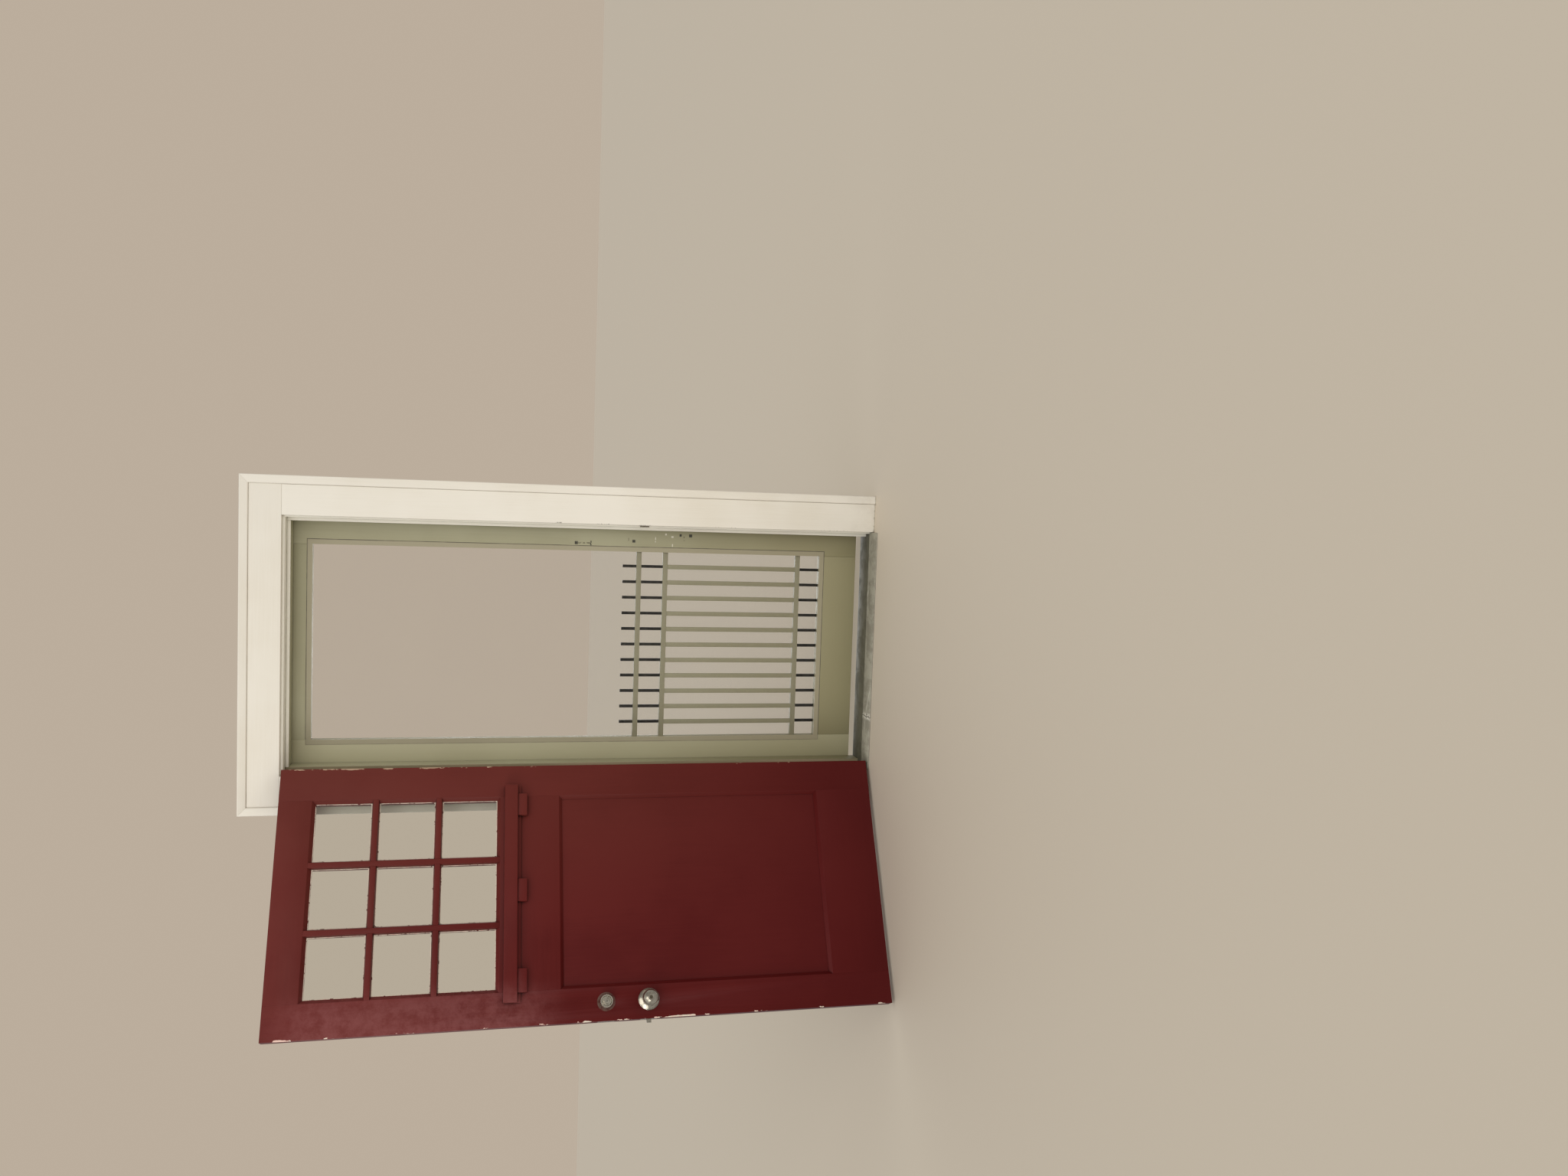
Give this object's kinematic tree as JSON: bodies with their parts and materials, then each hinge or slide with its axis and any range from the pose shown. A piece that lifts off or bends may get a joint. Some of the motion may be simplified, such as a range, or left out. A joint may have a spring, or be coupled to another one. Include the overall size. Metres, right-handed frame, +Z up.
{
  "type": "entry door set",
  "caption": "Glazed panel entry door with dentil shelf, hung open in its cased wooden frame, with a wooden screen door behind it.",
  "frame": {"origin": "on the floor, midway between the side jambs, in the plane of their room edges; it lies on the underside of the threshold strip", "axes": "+X across the doorway from the hinge jamb to the strike jamb, +Y from the room to the outside, +Z up"},
  "size_m": [1.7547, 0.6471, 2.186],
  "materials": {
    "red_paint": "worn dark red gloss paint",
    "white_paint": "old cream white paint",
    "green_paint": "worn khaki green paint",
    "sill_paint": "weathered grey green paint",
    "strip_paint": "worn light grey paint",
    "rod_paint": "black paint",
    "cloth": "open insect cloth",
    "glass": "clear window glass",
    "hinge_paint": "painted over",
    "satin_metal": "satin nickel, tarnished",
    "brass": "worn"
  },
  "bodies": {
    "frame": {"hinge_jamb": "green_paint", "strike_jamb": "white_paint", "head_jamb": "green_paint", "sill": "sill_paint", "threshold_strip": "strip_paint", "hinge_stop": "green_paint", "strike_stop": "green_paint", "head_stop": "green_paint", "hinge_casing": "white_paint", "strike_casing": "white_paint", "head_casing": "white_paint", "hinge_back_band": "white_paint", "strike_back_band": "white_paint", "head_back_band": "white_paint", "latch_strike": "satin_metal", "deadbolt_strike": "satin_metal", "entry_hinge_jamb_plates": "hinge_paint", "screen_hinge_jamb_plates": "hinge_paint", "hinge_pins": "hinge_paint", "jamb_screws": "hinge_paint"},
    "entry_door": {"hinge_stile": "red_paint", "latch_stile": "red_paint", "top_rail": "red_paint", "lock_rail": "red_paint", "bottom_rail": "red_paint", "door_panel": "red_paint", "muntin_uprights": "red_paint", "muntin_crossbars": "red_paint", "glass_panes": "glass", "glazing_beads": "red_paint", "door_shelf": "red_paint", "shelf_dentils": "red_paint", "entry_hinge_door_plates": "hinge_paint", "leaf_screws": "hinge_paint", "latch_case": "satin_metal", "deadbolt_case": "satin_metal", "outer_rose": "satin_metal", "inner_rose": "satin_metal", "deadbolt_collar": "satin_metal", "turn_plate": "satin_metal"},
    "knobs": {"outer_knob": "satin_metal", "inner_knob": "satin_metal", "knob_spindle": "satin_metal"},
    "latch_bolt": {"latch_bolt": "satin_metal"},
    "key_plug": {"knob_key_plug": "brass"},
    "lock_button": {"lock_button": "satin_metal"},
    "deadbolt_turn": {"deadbolt_plug": "satin_metal", "thumb_turn": "satin_metal"},
    "deadbolt_bolt": {"deadbolt_bolt": "satin_metal"},
    "screen_door": {"screen_hinge_stile": "green_paint", "screen_latch_stile": "green_paint", "screen_top_rail": "green_paint", "screen_bottom_rail": "green_paint", "screen_beads": "green_paint", "screen_cloth": "cloth", "guard_rods": "rod_paint", "guard_bars": "green_paint", "guard_slats": "green_paint", "screen_hinge_door_plates": "hinge_paint", "screen_screws": "hinge_paint"}
  },
  "joints": [
    {"name": "entry_door_swing", "type": "hinge", "parent": "frame", "child": "entry_door", "pos_m": [-0.4305, -0.01, 1], "axis": [0, 0, 1], "range_deg": [-16, 152]},
    {"name": "screen_door_swing", "type": "hinge", "parent": "frame", "child": "screen_door", "pos_m": [-0.4305, 0.1515, 1], "axis": [0, 0, 1], "range_deg": [0, 100]},
    {"name": "knob_turn", "type": "hinge", "parent": "entry_door", "child": "knobs", "pos_m": [-1.1108, -0.43288, 0.848], "axis": [0.4695, -0.8829, 0], "range_deg": [0, 45], "stiffness_Nm_per_rad": 0.25},
    {"name": "latch_bolt_slide", "type": "slide", "parent": "entry_door", "child": "latch_bolt", "axis": [0.8829, 0.4695, 0], "range_m": [0, 0.012]},
    {"name": "key_plug_turn", "type": "hinge", "parent": "knobs", "child": "key_plug", "pos_m": [-1.08733, -0.47703, 0.848], "axis": [0.4695, -0.8829, 0], "range_deg": [0, 90]},
    {"name": "lock_button_turn", "type": "hinge", "parent": "knobs", "child": "lock_button", "pos_m": [-1.15493, -0.34988, 0.848], "axis": [-0.4695, 0.8829, 0], "range_deg": [0, 90]},
    {"name": "deadbolt_turn", "type": "hinge", "parent": "entry_door", "child": "deadbolt_turn", "pos_m": [-1.1108, -0.43288, 0.9877], "axis": [0.4695, -0.8829, 0], "range_deg": [0, 90]},
    {"name": "deadbolt_slide", "type": "slide", "parent": "entry_door", "child": "deadbolt_bolt", "axis": [-0.8829, -0.4695, 0], "range_m": [0, 0.025]}
  ],
  "couplings": [
    {"joint": "latch_bolt_slide", "follows": "knob_turn", "m_per_rad": 0.01527},
    {"joint": "deadbolt_turn", "follows": "deadbolt_slide", "rad_per_m": 62.8}
  ]
}
